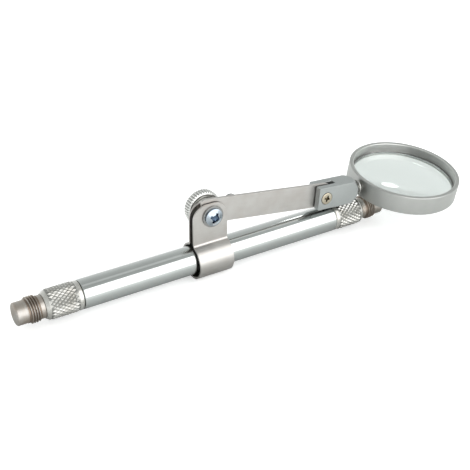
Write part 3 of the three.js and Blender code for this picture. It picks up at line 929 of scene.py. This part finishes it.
def retaining_ring_shape():
    """A flat wire ring with a small gap, which springs into place above the glass."""
    outer = RING_BORE_R - FIT
    inner = outer - WIRE_WIDTH
    low = GLASS_EDGE_TOP + GLASS_RISE * (1 - (inner / GLASS_R) ** 2) + FIT
    high = low + WIRE_HEIGHT
    section = rounded([(inner, low), (outer, low), (outer, high), (inner, high)], 0.15, closed=True)
    gap = math.degrees(WIRE_GAP / 2 / outer)
    turns = []
    for step in range(RING_SIDES + 1):
        a = math.radians(180 + gap + (360 - 2 * gap) * step / RING_SIDES)
        turns.append([(r * math.cos(a), r * math.sin(a), h) for r, h in section])
    return lofted(turns)


build("turned_stem", stem_shape(), SWIVEL, "lens", "nickel_plate", "swivel_stem")
build("thin_stem_washer",
      washer_shape(STEM_WASHER_START, STEM_R + FIT, STEM_WASHER_R, STEM_WASHER_T, "x"),
      SWIVEL, "lens", "spring_steel", "stem_washer", finish="nickel_plate")
build("lens_bezel", ring_shape(), HEAD, "lens", "ring_metal", "lens_ring")
build("convex_glass", glass_shape(), HEAD, "lens", "clear_glass", "magnifier_glass")
build("wire_ring", retaining_ring_shape(), HEAD, "lens", "spring_steel", "retaining_ring")


# ---------------------------------------------------------------- floor, light, camera
def floor(height, size):
    mesh = raw_mesh(([(-size, -size, height), (size, -size, height), (size, size, height),
                      (-size, size, height)], [[0, 1, 2, 3]]))
    plane = bpy.data.objects.new("floor", mesh)
    scene.collection.objects.link(plane)
    material, nodes, links, shader = principled("floor_paper")
    coordinates = nodes.new("ShaderNodeTexCoord").outputs["Object"]
    tone = nodes.new("ShaderNodeValToRGB")
    tone.color_ramp.elements[0].color = (0.84, 0.84, 0.84, 1)
    tone.color_ramp.elements[1].color = (0.88, 0.88, 0.88, 1)
    links.new(scaled_noise(nodes, links, coordinates, (3, 3, 3)), tone.inputs["Fac"])
    links.new(tone.outputs["Color"], shader.inputs["Base Color"])
    shader.inputs["Roughness"].default_value = 0.9
    shader.inputs["Specular IOR Level"].default_value = 0.1
    shader.inputs["Emission Color"].default_value = (1, 1, 1, 1)
    shader.inputs["Emission Strength"].default_value = 0.40
    mesh.materials.append(material)


def table_card(name, height, half_length, half_width, close, far, in_glass):
    """A grey table top that only reflections see or, in_glass, only the view through the glass.
    Its grey is painted darker near the handle as a painted contact shadow, going from the close
    grey within 3 mm of the handle to the far grey beyond 26 mm."""
    middle = HANDLE_LENGTH * MM / 2
    mesh = raw_mesh(([(middle + x, y, height) for x, y in
                      ((-half_length, -half_width), (half_length, -half_width),
                       (half_length, half_width), (-half_length, half_width))], [[0, 1, 2, 3]]))
    card = bpy.data.objects.new(name, mesh)
    scene.collection.objects.link(card)
    card.visible_camera = card.visible_diffuse = card.visible_shadow = False
    card.visible_transmission = in_glass
    card.visible_glossy = not in_glass
    material, nodes, links, shader = principled(name)
    position = nodes.new("ShaderNodeTexCoord").outputs["Object"]
    nearest = position
    for operation, corner in (("MINIMUM", HANDLE_LENGTH * MM), ("MAXIMUM", 0)):
        clamp = nodes.new("ShaderNodeVectorMath")
        clamp.operation = operation
        clamp.inputs[1].default_value = (corner, 0, height)
        links.new(nearest, clamp.inputs[0])
        nearest = clamp.outputs["Vector"]
    away = nodes.new("ShaderNodeVectorMath")
    away.operation = "DISTANCE"
    links.new(position, away.inputs[0])
    links.new(nearest, away.inputs[1])
    reach = nodes.new("ShaderNodeMapRange")
    reach.inputs["From Min"].default_value = 3 * MM
    reach.inputs["From Max"].default_value = 26 * MM
    links.new(away.outputs["Value"], reach.inputs["Value"])
    # painted contact shadow: the grey darkens towards the handle
    tone = nodes.new("ShaderNodeValToRGB")
    for element, grey in zip(tone.color_ramp.elements, (close, far)):
        element.color = (grey, grey + 0.01, grey + 0.005, 1)
    links.new(reach.outputs["Result"], tone.inputs["Fac"])
    links.new(tone.outputs["Color"], shader.inputs["Base Color"])
    shader.inputs["Roughness"].default_value = 0.9
    shader.inputs["Specular IOR Level"].default_value = 0.1
    mesh.materials.append(material)


def sky():
    """A studio room: pale at the horizon and greyer overhead."""
    world = bpy.data.worlds.new("studio")
    scene.world = world
    world.use_nodes = True
    nodes, links = world.node_tree.nodes, world.node_tree.links
    split = nodes.new("ShaderNodeSeparateXYZ")
    links.new(nodes.new("ShaderNodeTexCoord").outputs["Generated"], split.inputs["Vector"])
    ramp = nodes.new("ShaderNodeValToRGB")
    elements = ramp.color_ramp.elements
    elements[0].position, elements[0].color = 0.0, (0.91, 0.92, 0.92, 1)
    elements[1].position, elements[1].color = 1.0, (0.50, 0.52, 0.51, 1)
    middle = elements.new(0.4)
    middle.color = (0.78, 0.81, 0.80, 1)
    links.new(split.outputs["Z"], ramp.inputs["Fac"])
    links.new(ramp.outputs["Color"], nodes["Background"].inputs["Color"])


def area_light(name, direction, distance, width, height, radiance, glossy=True, at=None,
               shape="RECTANGLE"):
    """A soft light that looks from a direction at a point, or at the middle of the object."""
    data = bpy.data.lights.new(name, "AREA")
    data.shape = shape
    data.size, data.size_y = width, height
    data.energy = radiance * math.pi * width * height
    lamp = bpy.data.objects.new(name, data)
    scene.collection.objects.link(lamp)
    toward = Vector(direction).normalized()
    lamp.location = (at or middle) + toward * distance
    lamp.rotation_euler = (-toward).to_track_quat("-Z", "Y").to_euler()
    lamp.visible_camera = False
    lamp.visible_glossy = glossy


def camera(azimuth, elevation, roll, distance, target, lens):
    a, e = math.radians(azimuth), math.radians(elevation)
    back = Vector((math.sin(a) * math.cos(e), -math.cos(a) * math.cos(e), math.sin(e)))
    data = bpy.data.cameras.new("camera")
    data.lens = lens
    data.sensor_width = 36.0
    data.clip_start = 0.01
    eye = bpy.data.objects.new("camera", data)
    scene.collection.objects.link(eye)
    turn = (-back).to_track_quat("-Z", "Y").to_matrix().to_4x4()
    eye.matrix_world = (Matrix.Translation(Vector(target) + back * distance) @ turn
                        @ Matrix.Rotation(math.radians(roll), 4, "Z"))
    scene.camera = eye


middle = (cad_box[0] + cad_box[1]) / 2
floor(cad_box[0].z, 3.0)
table_card("reflection_card", cad_box[0].z + 0.02 * MM, half_length=0.25, half_width=0.06,
           close=0.48, far=0.88, in_glass=False)
table_card("paper_in_glass", cad_box[0].z + 0.01 * MM, half_length=0.25, half_width=0.06,
           close=0.80, far=0.88, in_glass=True)
sky()
area_light("front_softbox", (0.20, -0.84, 0.42), distance=0.75, width=1.3, height=0.90,
           radiance=1.75)
area_light("top_softbox", (-0.15, 0.25, 1.0), distance=0.9, width=1.0, height=1.0, radiance=0.9,
           glossy=False)
area_light("ceiling_strip", (0.447, 0.081, 0.89), distance=0.9, width=0.26, height=1.2,
           radiance=0.22)
area_light("glass_light", (0.535, 0.483, 0.69), distance=0.5, width=0.055, height=0.034,
           radiance=4.4, at=ring_centre, shape="ELLIPSE")
camera(azimuth=-31.38, elevation=30.96, roll=0.53, distance=0.2665,
       target=(0.06425, 0.0, 0.00369), lens=73.76)
scene.view_settings.view_transform = "Standard"
